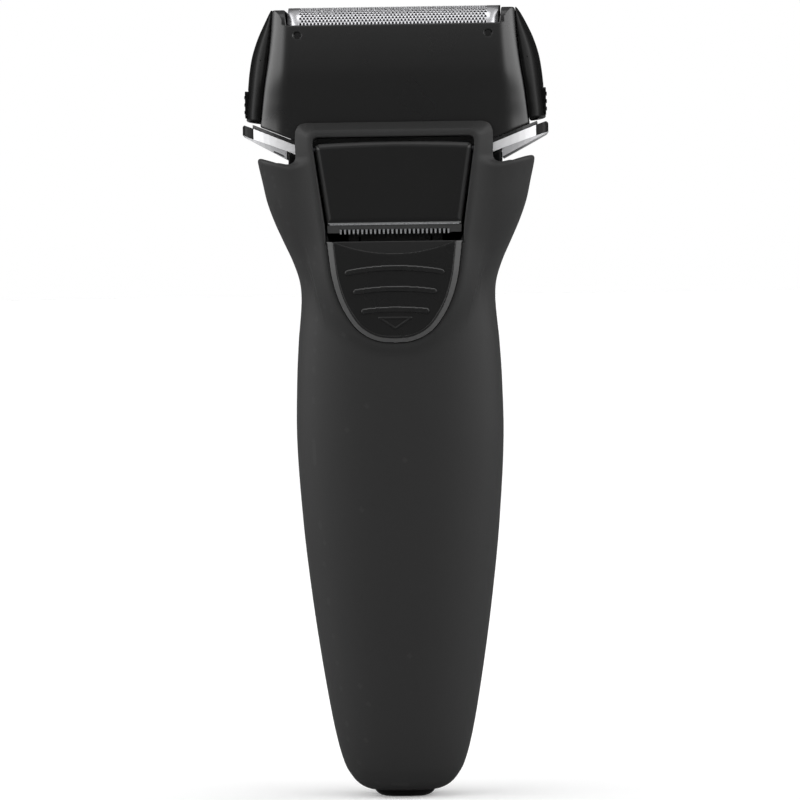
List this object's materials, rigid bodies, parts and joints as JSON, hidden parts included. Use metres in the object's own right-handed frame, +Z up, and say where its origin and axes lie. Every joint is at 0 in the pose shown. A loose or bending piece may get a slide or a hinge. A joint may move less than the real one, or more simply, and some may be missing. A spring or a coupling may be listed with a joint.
{
  "type": "foil shaver",
  "caption": "Cordless foil shaver: waisted matte handle, rocking twin-foil head with lift-off cassette, pop-up trimmer with thumb slider, power button and charging socket.",
  "frame": {"origin": "centre of the foot face at the bottom of the charging inlet, on the resting plane", "axes": "+Z up along the handle towards the foils, -Y the trimmer side, +Y the power-button side, +X to the right when looking at the trimmer side"},
  "size_m": [0.0616, 0.0356, 0.1602],
  "materials": {
    "shell_black": "soft matte charcoal black",
    "gloss_black": "polished black",
    "face_black": "semi-gloss black",
    "panel_black": "satin black",
    "silver_trim": "satin silver",
    "steel": "brushed",
    "foil_steel": "fine satin",
    "white_plastic": "moulded",
    "grey_plastic": "moulded",
    "rubber": "soft",
    "cell_wrap": "shrink sleeve",
    "board": "solder mask",
    "brass": "plain",
    "clear": "frosted clear"
  },
  "bodies": {
    "handle": {"rear_housing": "shell_black", "front_housing": "shell_black", "seam_gasket": "rubber", "housing_screws": "steel", "chassis": "grey_plastic", "battery": "cell_wrap", "battery_tabs": "steel", "circuit_board": "board", "power_switch": "grey_plastic", "led": "clear", "light_pipe": "clear", "motor": "steel", "motor_terminals": "brass", "motor_screws": "steel", "inlet": "gloss_black", "inlet_pins": "brass", "button_ring": "silver_trim", "trimmer_pin": "steel", "trimmer_springs": "steel", "slider_spring": "steel", "pivot_brackets": "steel", "pivot_pins": "steel", "neck_gasket": "rubber"},
    "rotor": {"motor_shaft": "steel", "eccentric": "white_plastic"},
    "power_key": {"power_button": "face_black"},
    "slider_unit": {"slider": "panel_black", "slider_catch": "white_plastic", "slider_screw": "steel"},
    "trimmer_arm": {"trimmer_panel": "panel_black", "trimmer_comb": "steel", "comb_cover": "gloss_black", "blade_retainer": "panel_black"},
    "trimmer_cutter": {"trimmer_blade": "steel", "blade_dog": "white_plastic"},
    "head": {"head_base": "face_black", "collar_left": "silver_trim", "collar_right": "silver_trim", "collar_cap_left": "gloss_black", "collar_cap_right": "gloss_black", "collar_foot_left": "silver_trim", "collar_foot_right": "silver_trim"},
    "bridge": {"drive_bridge": "white_plastic", "middle_blade": "steel", "cutter_springs_rear": "steel", "cutter_springs_front": "steel"},
    "cutter_block_rear": {"cutter_rear": "steel"},
    "cutter_block_front": {"cutter_front": "steel"},
    "cassette": {"foil_frame": "face_black", "side_panel_left": "gloss_black", "side_panel_right": "gloss_black", "middle_guard": "gloss_black", "release_spring_left": "steel", "release_spring_right": "steel"},
    "foil_unit_rear": {"foil_rear": "foil_steel", "foil_caps_rear": "gloss_black"},
    "foil_unit_front": {"foil_front": "foil_steel", "foil_caps_front": "gloss_black"},
    "release_left": {"release_button_left": "gloss_black"},
    "release_right": {"release_button_right": "gloss_black"}
  },
  "joints": [
    {"name": "motor_spin", "type": "hinge", "parent": "handle", "child": "rotor", "pos_m": [0, 0, 0.118], "axis": [0, 0, 1], "continuous": true},
    {"name": "power_press", "type": "slide", "parent": "handle", "child": "power_key", "axis": [0, -1, 0], "range_m": [0, 0.0006], "stiffness_N_per_m": 1500},
    {"name": "slider_slide", "type": "slide", "parent": "handle", "child": "slider_unit", "axis": [0, 0, -1], "range_m": [0, 0.0025], "stiffness_N_per_m": 400, "deforming": ["slider_spring"]},
    {"name": "trimmer_open", "type": "hinge", "parent": "handle", "child": "trimmer_arm", "pos_m": [0, -0.0154, 0.1312], "axis": [-1, 0, 0], "range_deg": [0, 90]},
    {"name": "trimmer_oscillation", "type": "slide", "parent": "trimmer_arm", "child": "trimmer_cutter", "axis": [1, 0, 0], "range_m": [-0.0008, 0.0008]},
    {"name": "head_pivot", "type": "hinge", "parent": "handle", "child": "head", "pos_m": [0, 0, 0.128], "axis": [0, 1, 0], "range_deg": [-3, 3]},
    {"name": "cutter_oscillation", "type": "slide", "parent": "head", "child": "bridge", "axis": [1, 0, 0], "range_m": [-0.0008, 0.0008]},
    {"name": "cassette_lift", "type": "slide", "parent": "head", "child": "cassette", "axis": [0, 0, 1], "range_m": [0, 0.03]},
    {"name": "foil_rear_float", "type": "slide", "parent": "cassette", "child": "foil_unit_rear", "axis": [0, 0, -1], "range_m": [0, 0.001]},
    {"name": "foil_front_float", "type": "slide", "parent": "cassette", "child": "foil_unit_front", "axis": [0, 0, -1], "range_m": [0, 0.001]},
    {"name": "cutter_rear_float", "type": "slide", "parent": "bridge", "child": "cutter_block_rear", "axis": [0, 0, -1], "range_m": [0, 0.001], "deforming": ["cutter_springs_rear"]},
    {"name": "cutter_front_float", "type": "slide", "parent": "bridge", "child": "cutter_block_front", "axis": [0, 0, -1], "range_m": [0, 0.001], "deforming": ["cutter_springs_front"]},
    {"name": "release_left_press", "type": "slide", "parent": "cassette", "child": "release_left", "axis": [1, 0, 0], "range_m": [0, 0.0008]},
    {"name": "release_right_press", "type": "slide", "parent": "cassette", "child": "release_right", "axis": [-1, 0, 0], "range_m": [0, 0.0008]}
  ],
  "couplings": [
    {"joint": "cutter_rear_float", "follows": "foil_rear_float", "ratio": 1},
    {"joint": "cutter_front_float", "follows": "foil_front_float", "ratio": 1}
  ]
}
